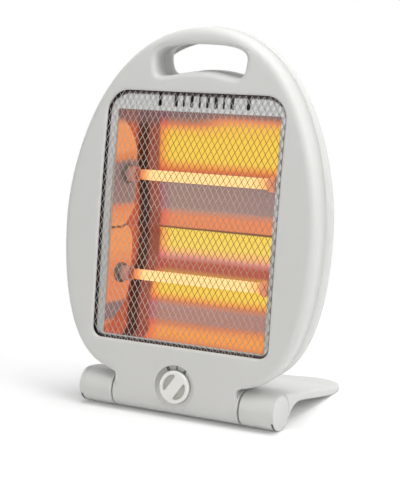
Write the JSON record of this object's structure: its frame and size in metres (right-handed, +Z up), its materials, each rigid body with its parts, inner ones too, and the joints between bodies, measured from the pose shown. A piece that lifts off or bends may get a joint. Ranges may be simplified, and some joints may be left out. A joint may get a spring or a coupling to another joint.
{
  "type": "halogen heater",
  "caption": "Free-standing halogen heater: leaning egg-shaped housing with carrying handle, guarded window with glowing tubes and mirror reflector, rotary dial and folding stand.",
  "frame": {"origin": "middle of the bounding box's base, on the floor that the feet stand on", "axes": "+Z up, -Y the way the window faces, +X to the right for someone looking at the window"},
  "size_m": [0.272, 0.1746, 0.3705],
  "materials": {
    "housing": "off-white moulded plastic with a soft gloss",
    "stand": "off-white moulded plastic with a soft gloss",
    "knob": "off-white moulded plastic, a little brighter",
    "guard": "bright plated steel net",
    "bezel": "satin light grey sheet",
    "reflector": "polished sheet that mirrors the glowing tubes",
    "ceramic": "matt grey ceramic",
    "quartz": "quartz glass, glowing pale yellow",
    "coil": "resistance wire at orange heat",
    "switch": "black moulded plastic",
    "brass_parts": "plain brass",
    "terminal": "natural nylon",
    "screws": "zinc-plated steel",
    "feet": "grey rubber"
  },
  "bodies": {
    "stand": {"base_stand": "stand", "hub_cap_left": "stand", "hinge_pin_left": "screws", "friction_washer_left": "switch", "foot_front_left": "feet", "foot_rear_left": "feet", "hub_cap_right": "stand", "hinge_pin_right": "screws", "friction_washer_right": "switch", "foot_front_right": "feet", "foot_rear_right": "feet"},
    "housing": {"front_shell": "housing", "rear_shell": "housing", "guard_mesh": "guard", "reflector_bezel": "bezel", "reflector": "reflector", "selector_switch": "switch", "tilt_switch": "switch", "thermal_cutout": "brass_parts", "terminal_block": "terminal", "cord_grommet": "housing", "reflector_end_left": "reflector", "tube_holder_upper_left": "ceramic", "tube_holder_lower_left": "ceramic", "reflector_end_right": "reflector", "tube_holder_upper_right": "ceramic", "tube_holder_lower_right": "ceramic", "quartz_tube_upper": "quartz", "heating_coil_upper": "coil", "quartz_tube_lower": "quartz", "heating_coil_lower": "coil", "shell_screw_1": "screws", "shell_screw_2": "screws", "shell_screw_3": "screws", "shell_screw_4": "screws", "shell_screw_5": "screws", "shell_screw_6": "screws"},
    "knob": {"control_knob": "knob", "switch_shaft": "screws"},
    "pendulum": {"tilt_pendulum": "brass_parts"}
  },
  "joints": [
    {"name": "housing_fold", "type": "hinge", "parent": "stand", "child": "housing", "pos_m": [0, -0.06969, 0.0176], "axis": [1, 0, 0], "range_deg": [0, 90]},
    {"name": "knob_turn", "type": "hinge", "parent": "housing", "child": "knob", "pos_m": [0, -0.08464, 0.0315], "axis": [0, 0.9896, -0.1438], "range_deg": [-60, 0]},
    {"name": "pendulum_swing", "type": "hinge", "parent": "housing", "child": "pendulum", "pos_m": [0.11268, -0.02664, 0.2168], "axis": [1, 0, 0], "range_deg": [-20, 20]}
  ]
}
